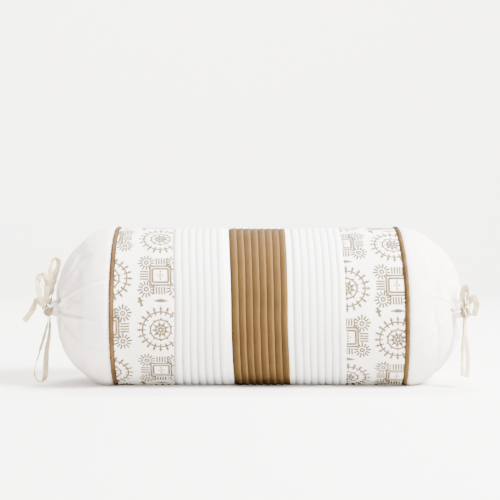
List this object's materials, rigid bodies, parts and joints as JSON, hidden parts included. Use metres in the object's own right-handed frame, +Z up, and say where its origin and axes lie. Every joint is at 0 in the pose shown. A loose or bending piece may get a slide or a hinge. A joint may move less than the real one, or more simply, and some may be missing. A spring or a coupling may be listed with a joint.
{
  "type": "bolster pillow",
  "caption": "Round stuffed bolster in a banded cotton cover with tucked, printed and piped bands and drawstring-gathered ends tied in bows.",
  "frame": {"origin": "on the surface the bolster rests on, under the middle of its length", "axes": "+X along the bolster, with the tucks' free folds facing +X; +Y away from the side the gathers are drawn to; +Z up"},
  "size_m": [0.4998, 0.1848, 0.1784],
  "materials": {
    "white_cotton": "plain-weave white cotton, matte",
    "tan_sateen": "golden-brown cotton sateen, soft sheen",
    "print_cotton": "off-white cotton with a gold-beige line print",
    "cream_tape": "cream woven cotton tape",
    "calico": "unbleached calico",
    "fibre_fill": "polyester fibre filling"
  },
  "bodies": {
    "bolster": {"centre_band": "tan_sateen", "left_tucked_band": "white_cotton", "right_tucked_band": "white_cotton", "left_print_band": "print_cotton", "right_print_band": "print_cotton", "left_piping_strip": "tan_sateen", "left_piping_cord": "calico", "right_piping_strip": "tan_sateen", "right_piping_cord": "calico", "left_end_sleeve": "white_cotton", "right_end_sleeve": "white_cotton", "insert_panel": "calico", "left_insert_end": "calico", "right_insert_end": "calico", "insert_filling": "fibre_fill", "left_drawstring": "cream_tape", "right_drawstring": "cream_tape", "left_knot": "cream_tape", "right_knot": "cream_tape", "left_tall_loop": "cream_tape", "left_short_loop": "cream_tape", "left_short_tail": "cream_tape", "right_tall_loop": "cream_tape", "right_short_loop": "cream_tape"},
    "left_hanging_loop": {"left_hanging_loop": "cream_tape"},
    "right_rear_tail": {"right_rear_tail": "cream_tape"},
    "right_front_tail": {"right_front_tail": "cream_tape"}
  },
  "joints": [
    {"name": "left_hanging_loop_swing", "type": "hinge", "parent": "bolster", "child": "left_hanging_loop", "pos_m": [-0.23436, -0.033, 0.082], "axis": [-0.9593, -0.2825, 0], "range_deg": [-45, 45]},
    {"name": "right_rear_tail_swing", "type": "hinge", "parent": "bolster", "child": "right_rear_tail", "pos_m": [0.22572, -0.05396, 0.082], "axis": [0.8778, -0.479, 0], "range_deg": [-45, 45]},
    {"name": "right_front_tail_swing", "type": "hinge", "parent": "bolster", "child": "right_front_tail", "pos_m": [0.22572, -0.05396, 0.082], "axis": [0.8778, -0.479, 0], "range_deg": [-45, 45]}
  ]
}
